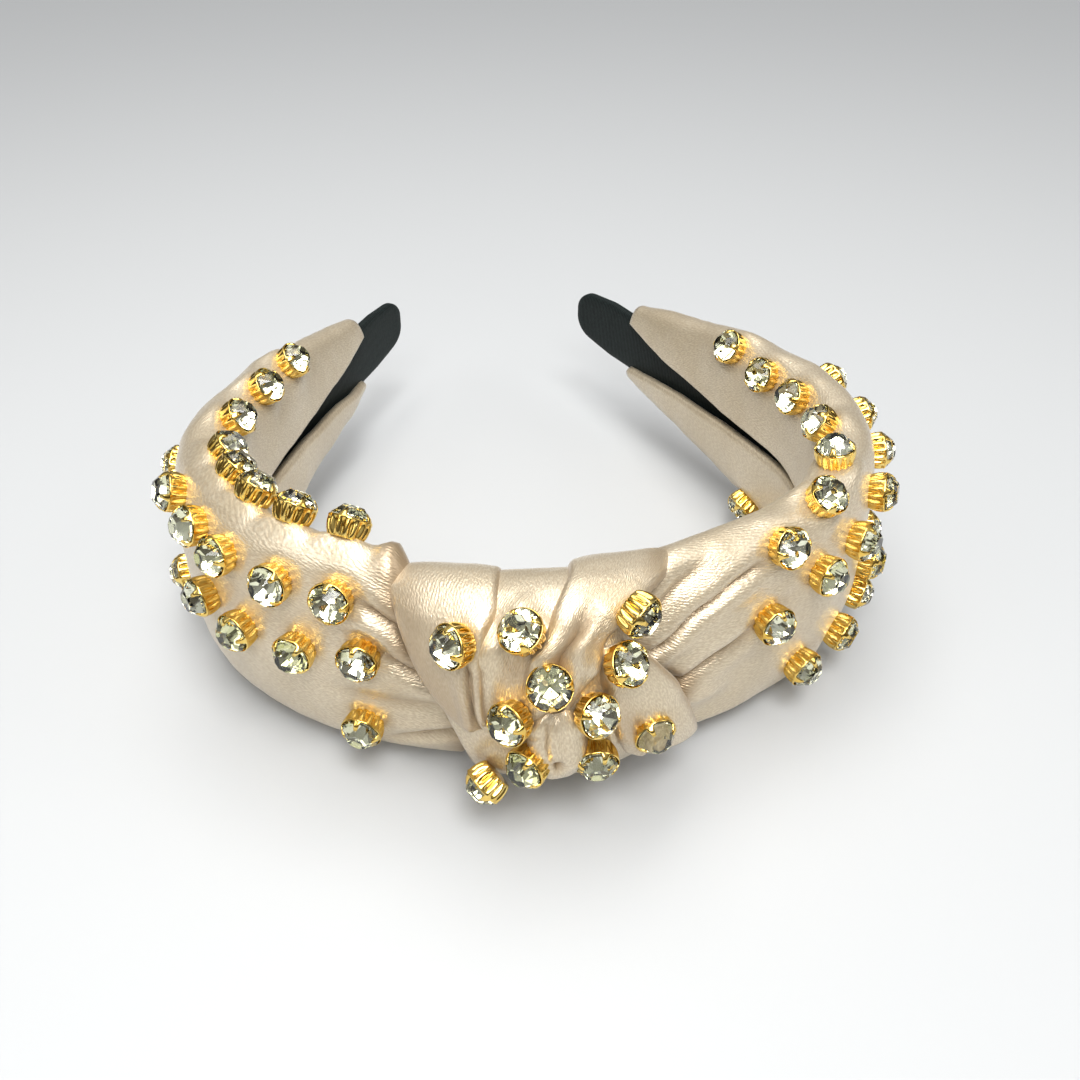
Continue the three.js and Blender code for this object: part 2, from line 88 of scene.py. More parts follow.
# Crystals on the arms: distance along the band, degrees round it, and a lean towards the head.
ROWS = {
    "left": {
        "upper": [(38.5, 99, 26), (49.5, 98, 24), (60, 100, 20), (69.5, 104, 16), (78.5, 107, 12),
                  (95, 116), (110, 115), (124, 113)],
        "front_high": [(37, 42), (48, 41), (58.5, 43), (66, 48), (75.5, 50), (94, 21), (107, 0)],
        "front_low": [(33, 8), (44.5, 3), (55.5, 2), (63.8, 6), (85.5, -24), (98, -44)],
        "lower": [(34, -32), (49, -112), (60, -110), (71, -110), (82, -112), (95, -114), (108, -114)],
    },
    "right": {
        "upper": [(38.5, 55), (50, 76), (62, 95), (77.5, 117), (94.5, 128), (107, 127), (120, 119)],
        "front_high": [(36, 6), (48, 18), (57.5, 22), (67.5, 33), (81, 30), (90.5, 35), (100, 46)],
        "front_low": [(47, -36), (59, -38), (70, -36), (68.5, -7), (80, -12), (91, -16), (102, -20)],
        "lower": [(49, -112), (60, -110), (71, -110), (82, -112), (95, -114), (108, -114)],
    },
}
# Crystals on the knot: distance along the band, degrees round it, and the way that each faces.
KNOT_CRYSTALS = [
    (-15, 45, (-0.8, -0.5, 0.3)),
    (-6.6, 50, (-0.4, -0.38, 0.82)),
    (-3.8, 22, (-0.12, -0.78, 0.62)),
    (7.0, 64, (0.62, -0.62, -0.25)),
    (5.2, 29, (0.5, -0.6, 0.62)),
    (1.4, 6, (0.42, -0.8, 0.42)),
    (-7.8, 6, (-0.7, -0.7, 0.2)),
    (-5.5, -15, (-0.71, -0.74, -0.02)),
    (-10.8, -31, (-0.8, -0.35, -0.5)),
    (2.9, -16, (-0.05, -0.97, -0.2)),
    (11, -11, (0.25, -0.95, -0.05)),
]
SIDES = (("left", -1), ("right", 1))

# The right flex line, read from the frame: it says where the band lies.
RIGHT_HINGE = next(joint for joint in frame["joints"] if joint["name"] == "right_arm_flex")


# ---- the band's shape
def signed_power(value, power):
    return np.sign(value) * np.abs(value) ** power


def band_at(distance):
    """x, y and heading of the core's centre line at a signed distance from the crown."""
    side = -1.0 if distance < 0 else 1.0
    left, heading, x, y = abs(distance), 0.0, 0.0, 0.0
    for radius, turn in BAND_ARCS:
        length = min(left, radius * math.radians(turn))
        ahead = heading + length / radius
        x += radius * (math.sin(ahead) - math.sin(heading))
        y += radius * (math.cos(heading) - math.cos(ahead))
        heading = ahead
        left -= length
        if left <= 0:
            break
    return side * x, y, side * heading


BAND_STEPS = np.arange(-BAND_REACH, BAND_REACH + BAND_STEP / 2, BAND_STEP)
BAND_TABLE = np.array([band_at(step) for step in BAND_STEPS])


def band_point(distance, out, up):
    """Points beside the band: a distance along it, then out from it and up."""
    x, y, heading = (np.interp(distance, BAND_STEPS, BAND_TABLE[:, i]) for i in range(3))
    return np.stack(np.broadcast_arrays(x + out * np.sin(heading), y - out * np.cos(heading), up), -1)


# The middle of the core at the crown.
ORIGIN = np.array(RIGHT_HINGE["pos_m"]) / MM - band_point(FLEX_AT, 0, 0)


def place(points):
    """Millimetres beside the band to metres in the row frame."""
    return (np.asarray(points, float) + ORIGIN) * MM


def cover_size(distance, column):
    return np.interp(np.abs(distance), COVER_SIZES[:, 0], COVER_SIZES[:, column])


def cover_section(distance, angle, proud=0.0):
    """How far out and up the arm cover's skin is, at an angle round its section."""
    reach_out, reach_in = cover_size(distance, OUT), cover_size(distance, IN)
    reach_up = np.where(np.sin(angle) > 0, cover_size(distance, UP), cover_size(distance, DOWN))
    power = 2 / COVER_POWER
    out = (reach_out - reach_in) / 2
    out = out + ((reach_out + reach_in) / 2 + proud) * signed_power(np.cos(angle), power)
    up = (reach_up + proud) * signed_power(np.sin(angle), power)
    return out, up


def cover_point(distance, angle, proud=0.0):
    return band_point(distance, *cover_section(distance, angle, proud))


def knot_point(distance, angle, proud=0.0):
    """Points of the knot's skin: angle 0 faces out, 90 degrees up and 180 towards the head."""
    across = (distance - KNOT_MIDDLE) / KNOT_HALF_WIDTH
    front = KNOT_FRONT - KNOT_SHOULDER * across * across + proud
    back = KNOT_BACK + proud
    half = (KNOT_TOP - KNOT_BOTTOM) / 2 - KNOT_DROOP * across * across + proud
    power = 2 / KNOT_POWER
    out = (front - back) / 2 + (front + back) / 2 * signed_power(np.cos(angle), power)
    up = (KNOT_TOP + KNOT_BOTTOM) / 2 + half * signed_power(np.sin(angle), power)
    return band_point(distance, out, up)


NORMAL_STEP, NORMAL_TURN = 0.5, 0.05


def outward(point, distance, angle):
    """The outward direction of a skin at a distance and an angle."""
    along = point(distance + NORMAL_STEP, angle) - point(distance - NORMAL_STEP, angle)
    around = point(distance, angle + NORMAL_TURN) - point(distance, angle - NORMAL_TURN)
    normal = np.cross(along, around)
    return normal / np.linalg.norm(normal)


def cover_seat(distance, angle, lean):
    """The foot of a crystal on an arm and the way that it faces, leaning towards the head."""
    normal = outward(cover_point, distance, angle)
    inward = band_point(distance, -1, 0) - band_point(distance, 0, 0)
    inward = inward - normal * (inward @ normal)
    inward = inward / np.linalg.norm(inward)
    foot = cover_point(distance, angle) + normal * (CRYSTAL_LIFT + CUP_FOOT * math.sin(lean))
    return foot, normal * math.cos(lean) + inward * math.sin(lean)


def knot_seat(distance, angle, aim):
    """The foot of a crystal on the knot and the way that it faces."""
    aim = np.array(aim) / np.linalg.norm(aim)
    normal = outward(knot_point, distance, angle)
    lean = math.acos(min(1.0, float(aim @ normal)))
    return knot_point(distance, angle) + normal * (CRYSTAL_LIFT + CUP_FOOT * math.sin(lean)), aim


def crystal_seats():
    """Row, number, body, foot and aim of every crystal, in the order that they are sewn on."""
    seats = []
    for name, side in SIDES:
        for row, places in ROWS[name].items():
            for i, (along, degrees, *lean) in enumerate(places):
                lean = math.radians(lean[0] if lean else 0)
                foot, aim = cover_seat(side * along, math.radians(degrees), lean)
                body = "crown" if along < FLEX_AT else f"{name}_arm"
                seats.append({"row": f"{row}_{name}", "index": i, "body": body, "foot": foot, "aim": aim})
    for i, (along, degrees, aim) in enumerate(KNOT_CRYSTALS):
        foot, aim = knot_seat(along, math.radians(degrees), aim)
        seats.append({"row": "knot", "index": i, "body": "crown", "foot": foot, "aim": aim})
    return seats


SEATS = crystal_seats()


# ---- meshes
def scene_object(name, data):
    """An object for that mesh, light or camera, in the scene."""
    obj = bpy.data.objects.new(name, data)
    bpy.context.scene.collection.objects.link(obj)
    return obj


def new_object(name, verts, faces, smooth=True, uvs=None):
    """A mesh object from points in metres; uvs, if given, is one pair per vertex."""
    mesh = bpy.data.meshes.new(name)
    mesh.from_pydata([tuple(v) for v in verts], [], [tuple(f) for f in faces])
    mesh.update()
    if smooth:
        mesh.shade_smooth()
    if uvs is not None:
        layer = mesh.uv_layers.new(name="weave")
        corner = np.zeros(len(mesh.loops), np.int32)
        mesh.loops.foreach_get("vertex_index", corner)
        layer.data.foreach_set("uv", np.asarray(uvs, np.float32)[corner].ravel())
    return scene_object(name, mesh)


def grid_faces(rows, columns, closed=False):
    """Quads of a grid of rows by columns; closed joins the last column to the first."""
    faces = []
    for r in range(rows - 1):
        for c in range(columns if closed else columns - 1):
            d = (c + 1) % columns
            a, b = r * columns, (r + 1) * columns
            faces.append((a + c, a + d, b + d, b + c))
    return faces


def thicken(obj, thickness):
    """Gives a cloth's mesh its thickness, inwards from its skin."""
    modifier = obj.modifiers.new("Solidify", "SOLIDIFY")
    modifier.thickness = thickness * MM
    modifier.offset = -1
    graph = bpy.context.evaluated_depsgraph_get()
    mesh = bpy.data.meshes.new_from_object(obj.evaluated_get(graph), depsgraph=graph)
    obj.modifiers.clear()
    obj.data = mesh


def smoothstep(low, high, value):
    """0 below low and 1 above high, with a soft rise between them."""
    t = np.clip((value - low) / (high - low), 0, 1)
    return t * t * (3 - 2 * t)


# ---- materials
def new_material(name):
    """A material with its node tree and its shader node."""
    material = bpy.data.materials.new(name)
    material.use_nodes = True
    tree = material.node_tree
    shader = next(n for n in tree.nodes if n.type == "BSDF_PRINCIPLED")
    return material, tree, shader


def node(tree, kind, inputs=None, **settings):
    """A new node with its settings and inputs; an input that is a socket is linked."""
    made = tree.nodes.new(kind)
    for key, value in settings.items():
        setattr(made, key, value)
    for key, value in (inputs or {}).items():
        if isinstance(value, bpy.types.NodeSocket):
            tree.links.new(value, made.inputs[key])
        else:
            made.inputs[key].default_value = value
    return made


def colour_ramp(tree, factor, stops):
    """A colour that follows factor through the stops, each a position and a colour."""
    ramp = node(tree, "ShaderNodeValToRGB", {"Fac": factor})
    elements = ramp.color_ramp.elements
    while len(elements) < len(stops):
        elements.new(0.5)
    for element, (position, colour) in zip(elements, stops):
        element.position = position
        element.color = (*colour, 1)
    return ramp.outputs["Color"]


def grain(tree, scale, detail):
    """Noise over the object itself, from 0 to 1."""
    where = node(tree, "ShaderNodeTexCoord")
    cells = node(tree, "ShaderNodeTexNoise", {"Vector": where.outputs["Object"], "Scale": scale,
                 "Detail": detail})
    return cells.outputs["Fac"]


def set_relief(tree, shader, height, strength, distance):
    bump = node(tree, "ShaderNodeBump", {"Height": height, "Strength": strength, "Distance": distance})
    tree.links.new(bump.outputs["Normal"], shader.inputs["Normal"])


def set_inputs(shader, **values):
    """Sets the shader's own sockets, with _ for a space in a socket's name."""
    for key, value in values.items():
        shader.inputs[key.replace("_", " ")].default_value = value


SATIN_LIGHT, SATIN_DARK = (0.76, 0.665, 0.50), (0.66, 0.56, 0.395)
# On the next line, the first colour is painted shade for the creases, fold edges and the knot's border, the
# middle one is the thread's own colour, and the last is a painted reflection of the gold cups on the satin.
SATIN_PAINTED_SHADE, SATIN_THREAD, SATIN_GOLD_REFLECTION = (0.33, 0.21, 0.10), (0.42, 0.31, 0.19), (0.74, 0.56, 0.25)
SATIN_ROUGH, SATIN_SMOOTH = 0.44, 0.31
# The weave: its slant in degrees, how fine it is along and across its threads, and its relief.
WEAVE_SLANT, WEAVE_FINENESS, WEAVE_RELIEF = 38, (1.3, 3.8, 1), 0.85
RIBBON_DARK, RIBBON_LIGHT = (0.003, 0.005, 0.005), (0.008, 0.014, 0.013)
GOLD_DARK, GOLD_LIGHT = (0.84, 0.53, 0.10), (0.97, 0.73, 0.24)
FOIL_DARK, FOIL_LIGHT = (0.80, 0.80, 0.56), (1.0, 1.0, 0.95)
GLASS_TINT = (0.975, 0.975, 0.81)


def satin_colour(tree, floats):
    """Uneven champagne with dark specks of thread, painted shade in the creases and along edges, and a
    painted reflection of the gold round the cups.
    """
    base = colour_ramp(tree, grain(tree, 60.0, 2.0), [(0.3, SATIN_DARK), (0.7, SATIN_LIGHT)])
    # Painted shade: the creases, the folds' edges and the knot's border, darkened towards brown.
    painted_shade = node(tree, "ShaderNodeAttribute", attribute_name="painted_shade")
    # A painted reflection of the gold cups, warm on the satin near each one.
    gold_reflection = node(tree, "ShaderNodeAttribute", attribute_name="gold_reflection")
    speck = node(tree, "ShaderNodeMapRange", {"Value": floats, "From Min": 0.40, "From Max": 0.66,
                 "To Min": 0.46, "To Max": 0.0})
    layers = ((painted_shade.outputs["Fac"], SATIN_PAINTED_SHADE), (gold_reflection.outputs["Fac"], SATIN_GOLD_REFLECTION),
              (speck.outputs["Result"], SATIN_THREAD))
    for factor, colour in layers:
        mix = node(tree, "ShaderNodeMix", {"Factor": factor, "A": base, "B": (*colour, 1)},
                   data_type="RGBA")
        base = mix.outputs["Result"]
    return base


def satin_material():
    """Champagne satin, woven with short diagonal floats of thread."""
    material, tree, shader = new_material("champagne_satin")
    where = node(tree, "ShaderNodeTexCoord")
    slant = node(tree, "ShaderNodeMapping", {"Vector": where.outputs["UV"],
                 "Rotation": (0, 0, math.radians(WEAVE_SLANT)), "Scale": WEAVE_FINENESS})
    floats = node(tree, "ShaderNodeTexNoise", {"Vector": slant.outputs["Vector"], "Scale": 1.0,
                  "Detail": 1.0})
    twill = node(tree, "ShaderNodeTexWave", {"Vector": slant.outputs["Vector"], "Scale": 0.23,
                 "Distortion": 2.6, "Detail": 1.0, "Detail Scale": 1.6}, bands_direction="Y")
    tree.links.new(satin_colour(tree, floats.outputs["Fac"]), shader.inputs["Base Color"])
    rough = node(tree, "ShaderNodeMapRange", {"Value": floats.outputs["Fac"], "From Min": 0.3,
                 "From Max": 0.7, "To Min": SATIN_ROUGH, "To Max": SATIN_SMOOTH})
    tree.links.new(rough.outputs["Result"], shader.inputs["Roughness"])
    height = node(tree, "ShaderNodeMath", {0: twill.outputs["Fac"], 1: 0.16, 2: floats.outputs["Fac"]},
                  operation="MULTIPLY_ADD")
    set_relief(tree, shader, height.outputs["Value"], WEAVE_RELIEF, 0.00015)
    set_inputs(shader, Metallic=0.55, Coat_Weight=0.55, Coat_Roughness=0.33, Sheen_Weight=0.12,
               Sheen_Roughness=0.4, Sheen_Tint=(1.0, 0.93, 0.84, 1))
    return material


def ribbon_material():
    """Black grosgrain: fine ribs across the strip."""
    material, tree, shader = new_material("black_ribbon")
    where = node(tree, "ShaderNodeTexCoord")
    ribs = node(tree, "ShaderNodeTexWave", {"Vector": where.outputs["UV"], "Scale": 0.5,
                "Distortion": 0.3, "Detail": 1.0}, bands_direction="X")
    fuzz = grain(tree, 1500.0, 2.0)
    colour = colour_ramp(tree, fuzz, [(0.35, RIBBON_DARK), (0.75, RIBBON_LIGHT)])
    tree.links.new(colour, shader.inputs["Base Color"])
    height = node(tree, "ShaderNodeMath", {0: ribs.outputs["Fac"], 1: fuzz}, operation="ADD")
    set_relief(tree, shader, height.outputs["Value"], 0.5, 0.0001)
    set_inputs(shader, Roughness=0.62, Specular_IOR_Level=0.22, Sheen_Weight=0.05,
               Sheen_Tint=(0.25, 0.40, 0.38, 1))
    return material


def gold_material():
    """Bright yellow gold plate, a little uneven."""
    material, tree, shader = new_material("gold_plate")
    tone = grain(tree, 420.0, 1.5)
    colour = colour_ramp(tree, tone, [(0.3, GOLD_DARK), (0.7, GOLD_LIGHT)])
    tree.links.new(colour, shader.inputs["Base Color"])
    rough = node(tree, "ShaderNodeMapRange", {"Value": tone, "To Min": 0.07, "To Max": 0.17})
    tree.links.new(rough.outputs["Result"], shader.inputs["Roughness"])
    set_inputs(shader, Metallic=1.0)
    return material


def crystal_materials():
    """Cut glass for the front of a stone, and the bright foil behind it."""
    glass, _, shader = new_material("cut_glass")
    set_inputs(shader, Base_Color=(*GLASS_TINT, 1), Roughness=0.02, IOR=1.52, Transmission_Weight=1.0)
    foil, tree, shader = new_material("stone_foil")
    colour = colour_ramp(tree, grain(tree, 160.0, 1.0), [(0.35, FOIL_DARK), (0.65, FOIL_LIGHT)])
    tree.links.new(colour, shader.inputs["Base Color"])
    set_inputs(shader, Metallic=1.0, Roughness=0.07)
    return glass, foil


def plain_material(name, dark, light, scale, roughness):
    """A dull material between two colours, with a fine grain of that scale."""
    material, tree, shader = new_material(name)
    cells = grain(tree, scale, 3.0)
    colour = colour_ramp(tree, cells, [(0.3, dark), (0.7, light)])
    tree.links.new(colour, shader.inputs["Base Color"])
    set_relief(tree, shader, cells, 0.3, 0.0002)
    set_inputs(shader, Roughness=roughness)
    return material


SATIN = satin_material()
RIBBON = ribbon_material()
GOLD = gold_material()
GLASS, FOIL = crystal_materials()
FOAM = plain_material("white_foam", (0.70, 0.68, 0.62), (0.86, 0.84, 0.78), 900.0, 0.95)
PLASTIC = plain_material("moulded_strip", (0.02, 0.02, 0.02), (0.045, 0.045, 0.045), 300.0, 0.5)


# ---- crystals
CUP_AROUND = 112
FLUTES = 14
CLAWS = 4
# The cup's wall from its foot to its rim: height, radius and depth of the flutes.
CUP_WALL = [
    (0.0, 2.4, 0.0), (0.0, 2.95, 0.05), (0.3, 3.14, 0.22), (1.0, 3.34, 0.38), (1.8, 3.52, 0.42),
    (2.6, 3.68, 0.36), (3.1, 3.78, 0.18), (3.3, 3.90, 0.04), (3.5, 3.96, 0.0), (3.7, 3.88, 0.0),
]
# From its rim over the claws and down inside: height and radius, and a claw's rise and bend there.
CUP_MOUTH = [
    (3.70, 3.80, 0.75, 0.2625), (3.70, 3.80, 1.50, 1.05), (3.50, 3.67, 1.45, 1.05),
    (3.25, 3.62, 0.675, 0.21), (2.80, 3.50, 0.0, 0.0), (0.45, 2.75, 0.0, 0.0),
]
# Half the width of a claw in radians, at its flat top and at its foot.
CLAW_NARROW, CLAW_WIDE = 0.10, 0.22


def aimed_frame(aim):
    """Two directions across aim, and aim itself, as the rows of a matrix."""
    aside = np.cross((0, 0, 1), aim)
    if np.linalg.norm(aside) < 1e-3:
        aside = np.array([1.0, 0, 0])
    aside = aside / np.linalg.norm(aside)
    return np.array([aside, np.cross(aim, aside), aim])


def claw_shares(around):
    """1 in the middle of a claw and 0 beside it, at angles round the cup."""
    claw = np.zeros(len(around))
    for k in range(CLAWS):
        gap = np.abs((around - (k + 0.5) * 2 * math.pi / CLAWS + math.pi) % (2 * math.pi) - math.pi)
        claw = np.maximum(claw, 1 - smoothstep(CLAW_NARROW, CLAW_WIDE, gap))
    return claw


def cup_shape():
    """A fluted cup with a rolled rim and claws that bend in over the stone, about +Z."""
    around = np.linspace(0, 2 * math.pi, CUP_AROUND, endpoint=False)
    claw = claw_shares(around)
    ribs = 2 * np.abs(np.cos(FLUTES / 2 * around)) - 4 / math.pi
    rings = [(np.full(CUP_AROUND, height), radius + flute * ribs) for height, radius, flute in CUP_WALL]
    rings += [(height + rise * claw, radius - bend * claw) for height, radius, rise, bend in CUP_MOUTH]
    verts = np.array([(r * math.cos(a), r * math.sin(a), h)
                      for heights, radii in rings for h, r, a in zip(heights, radii, around)])
    faces = grid_faces(len(rings), CUP_AROUND, closed=True)
    last = (len(rings) - 1) * CUP_AROUND
    faces.append(tuple(range(CUP_AROUND))[::-1])
    faces.append(tuple(range(last, last + CUP_AROUND)))
    return verts, faces


# Heights of the stone's table, girdle and point, then the radii of its girdle and table.
STONE_TOP, STONE_GIRDLE, STONE_POINT = 5.85, 4.15, 0.95
STONE_RADIUS, STONE_TABLE = 3.55, 1.95
STONE_EDGE = 0.45
STONE_SIDES = 8
# Heights inside the stone that its glass faces and its foil faces look away from.
GLASS_CENTRE, FOIL_CENTRE = 3.5, 4.4


def stone_shape():
    """A chaton about +Z: its verts, the faces of its crown, and those that the foil backs."""
    n = STONE_SIDES

    def ring(count, radius, height):
        turns = [2 * math.pi * i / count for i in range(count)]
        return [(radius * math.cos(turn), radius * math.sin(turn), height) for turn in turns]

    verts = ring(n, STONE_TABLE, STONE_TOP) + ring(2 * n, STONE_RADIUS, STONE_GIRDLE)
    verts += ring(2 * n, STONE_RADIUS, STONE_GIRDLE - STONE_EDGE) + [(0, 0, STONE_POINT)]
    girdle, under, point = n, 3 * n, 5 * n
    faces, behind = [tuple(range(n))], []
    for i in range(n):
        j = (i + 1) % n
        a, b, c = girdle + 2 * i, girdle + 2 * i + 1, girdle + 2 * j
        faces += [(i, a, b), (i, b, j), (j, b, c)]
        faces += [(a, a + 2 * n, b + 2 * n, b), (b, b + 2 * n, c + 2 * n, c)]
        low_a, low_b, low_c = (corner - girdle + under for corner in (a, b, c))
        behind += [(low_a, low_c, point), (low_a, low_b, low_c)]
    return np.array(verts), faces, behind


CUP_VERTS, CUP_FACES = cup_shape()
STONE_VERTS, STONE_FACES, STONE_BEHIND = stone_shape()


def outward_faces(verts, faces, centre):
    """The faces, each turned so that it looks away from centre."""
    turned = []
    for face in faces:
        corners = verts[list(face)]
        normal = np.cross(corners[1] - corners[0], corners[2] - corners[0])
        turned.append(face if normal @ (corners.mean(0) - centre) > 0 else face[::-1])
    return turned


STONE_FACES = outward_faces(STONE_VERTS, STONE_FACES, np.array([0, 0, GLASS_CENTRE]))
STONE_BEHIND = outward_faces(STONE_VERTS, STONE_BEHIND, np.array([0, 0, FOIL_CENTRE]))
CRYSTAL_SPIN = 2.4  # radians that each crystal of a row is turned on from the last


def add_crystals(name, seats, body, nodes):
    """The cups and the stones of these seats, as one piece each, in place of their CAD nodes."""
    cup_points, cup_faces, stone_points, stone_faces, foils = [], [], [], [], []
    for k, seat in enumerate(seats):
        axes = aimed_frame(seat["aim"])
        spin = CRYSTAL_SPIN * (seat["index"] + 1)
        turn = np.array([[math.cos(spin), math.sin(spin), 0],
                         [-math.sin(spin), math.cos(spin), 0],
                         [0, 0, 1]])
        cup_faces += [tuple(i + k * len(CUP_VERTS) for i in face) for face in CUP_FACES]
        cup_points.append(place(CUP_VERTS @ turn @ axes + seat["foot"]))
        stone_points.append(place(STONE_VERTS @ turn @ axes + seat["foot"]))
        for face in STONE_FACES + STONE_BEHIND:
            stone_faces.append(tuple(i + k * len(STONE_VERTS) for i in face))
        foils += [0] * len(STONE_FACES) + [1] * len(STONE_BEHIND)
    cups = new_object(f"{name}_cup", np.concatenate(cup_points), cup_faces)
    cups.data.materials.append(GOLD)
    stones = new_object(f"{name}_stone", np.concatenate(stone_points), stone_faces, smooth=False)
    stones.data.materials.append(GLASS)
    stones.data.materials.append(FOIL)
    stones.data.polygons.foreach_set("material_index", foils)
    for piece, slot, stood_for in ((cups, "gold_cup", nodes[:1]), (stones, "crystal", nodes[1:])):
        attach(piece, body)
        if stood_for:
            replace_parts(piece, *stood_for)


def add_all_crystals():
    for side, _ in SIDES:
        for row in ROWS[side]:
            seats = [s for s in SEATS if s["row"] == f"{row}_{side}"]
            parts = ((f"crystal_{row}_{side}_first", "crown"),
                     (f"crystal_row_{row}_{side}", f"{side}_arm"))
            for name, body in parts:
                riding = [s for s in seats if s["body"] == body]
                if riding:
                    add_crystals(name, riding, body, [name])
    for seat in (s for s in SEATS if s["row"] == "knot"):
        label = f"{seat['index'] + 1:02d}"
        nodes = [f"knot_crystal_cup_{label}", f"knot_crystal_stone_{label}"]
        add_crystals(f"knot_crystal_{label}", [seat], "crown", nodes)


add_all_crystals()


# ---- cloth shaping
# How the cloth meets a cup: flat under it, drawn to its foot within a reach round it, and left
# alone where it lies further above or below the foot than SEAT_CATCH.
SEAT_FLAT, SEAT_REACH, SEAT_DEPTH = 3.1, 7.0, -0.05
SEAT_FULL, SEAT_CATCH = 2.25, 4.5
RAISE_SHARE, RAISE_REACH = 0.5, 5.4
# How near a cup the satin takes its full painted reflection of the gold, how far off it has none, and how
# strong it is.
GLOW_NEAR, GLOW_FAR, GLOW_SHARE = 2.8, 5.6, 0.14
# A crease along its length: where it comes in and is full, then where it starts to fade and is gone.
CREASE_RISE, CREASE_FADE = (-0.2, 0.05), (0.45, 1.1)
# The soft ridge at each side of a crease: its height, its place and its width, in crease widths.
CREASE_RIDGES = [(0.55, 1.9, 1.3), (0.35, -2.2, 1.5)]
# The creases' painted shade is at its full strength at this depth.
CREASE_FULL = 1.6  # millimetres deep at which a crease has its full dark tint


def seated(points, raise_only=False):
    """The points of a cloth, drawn to the foot of every cup that is sewn through it.

    With raise_only the cloth rises to a foot that stands clear of it, and is never pressed down.
    """
    points = points.copy()
    for seat in SEATS:
        gap = points - seat["foot"]
        height = gap @ seat["aim"]
        radial = np.linalg.norm(gap - height[..., None] * seat["aim"], axis=-1)
        reach = RAISE_REACH if raise_only else SEAT_REACH
        near = 1 - smoothstep(SEAT_FLAT, reach, radial)
        near = near * (1 - smoothstep(SEAT_FULL, SEAT_CATCH, np.abs(height)))
        shift = near * (height - SEAT_DEPTH)
        if raise_only:
            shift = RAISE_SHARE * np.minimum(shift, 0)
        points -= shift[..., None] * seat["aim"]
    return points


def crease_depth(along, across, lines):
    """How far creases draw a cloth in: a sharp valley with a soft ridge at each side.

    Each crease is its (along, across) points, deep at the first and fading to the last, then its
    depth and its width.
    """
    total = np.zeros(np.broadcast(along, across).shape)
    for route, depth, width in lines:
        route = np.array(route, float)
        rising = route[np.argsort(route[:, 0])]
        centre = np.interp(along, rising[:, 0], rising[:, 1])
        t = (along - route[0, 0]) / (route[-1, 0] - route[0, 0])
        fade = smoothstep(*CREASE_RISE, t) * (1 - smoothstep(*CREASE_FADE, t))
        gap = (across - centre) / width
        ridges = sum(size * np.exp(-((gap - at) / wide) ** 2) for size, at, wide in CREASE_RIDGES)
        total += depth * fade * (np.exp(-gap ** 2) - ridges)
    return total


def bump_height(along, across, bumps):
    """How far soft lumps raise a cloth; each is its place, its two radii and its height."""
    total = np.zeros(np.broadcast(along, across).shape)
    for a0, c0, length, width, height in bumps:
        total += height * np.exp(-((along - a0) / length) ** 2 - ((across - c0) / width) ** 2)
    return total


def seat_glow(points):
    """How near each point is to a gold cup, from 0 to 1: a painted reflection of the gold on the satin round
    it.
    """
    glow = np.zeros(points.shape[:-1])
    for seat in SEATS:
        gap = np.linalg.norm(points - seat["foot"], axis=-1)
        glow = np.maximum(glow, 1 - smoothstep(GLOW_NEAR, GLOW_FAR, gap))
    return glow


def ripple(points, scale, seed):
    """Soft uneven noise from -1 to 1 at points in millimetres."""
    flat = points.reshape(-1, 3) * scale + seed
    values = [noise.noise(Vector(p)) for p in flat]
    return np.array(values).reshape(points.shape[:-1])


def ripples(points, sizes, seeds):
    """Noise of several sizes added up; each size is a height and a fineness."""
    return sum(height * ripple(points, scale, seed) for (height, scale), seed in zip(sizes, seeds))


def add_tint(obj, name, values):
    """A number at each vertex, from 0 to 1, for a material to read."""
    layer = obj.data.attributes.new(name, "FLOAT", "POINT")
    layer.data.foreach_set("value", np.clip(values, 0, 1).astype(np.float32).ravel())


def cloth_object(name, points, uvs, thickness, closed=False, material=None, creases=None):
    """A grid of points as a cloth of that thickness; creases is how much painted shade each point takes, and
    with it goes a painted reflection of the gold cups near them.
    """
    rows, columns = points.shape[:2]
    cloth = new_object(name, place(points).reshape(-1, 3), grid_faces(rows, columns, closed),
                       uvs=uvs.reshape(-1, 2))
    cloth.data.materials.append(material or SATIN)
    if creases is not None:
        add_tint(cloth, "painted_shade", creases)
        # A painted reflection of the gold cups on the satin near each one.
        add_tint(cloth, "gold_reflection", GLOW_SHARE * seat_glow(points))
    thicken(cloth, thickness)
    cloth.data.shade_smooth()
    return cloth


# ---- arm covers
COVER_START, COVER_END, COVER_STEP = 7, 162, 1.1
COVER_COLUMNS = 128
SECTION_STEPS = 400
CLOTH_THICK = 0.5
# How far the foam puffs the satin out, and the distances over which that dies off near a tip.
COVER_PUFF, PUFF_FADE = 0.8, (150, 162)
# Broad and fine unevenness of the satin: each a height in millimetres and a fineness.
COVER_RIPPLES = ((0.45, 0.085), (0.12, 0.3))
# The hem at each edge of the slit, from the edge in: out from the band, and away from the slit.
HEM = [(0.0, 0.0), (0.45, -0.45), (1.1, -0.55), (1.8, -0.1), (2.2, 0.8), (2.3, 2.0)]
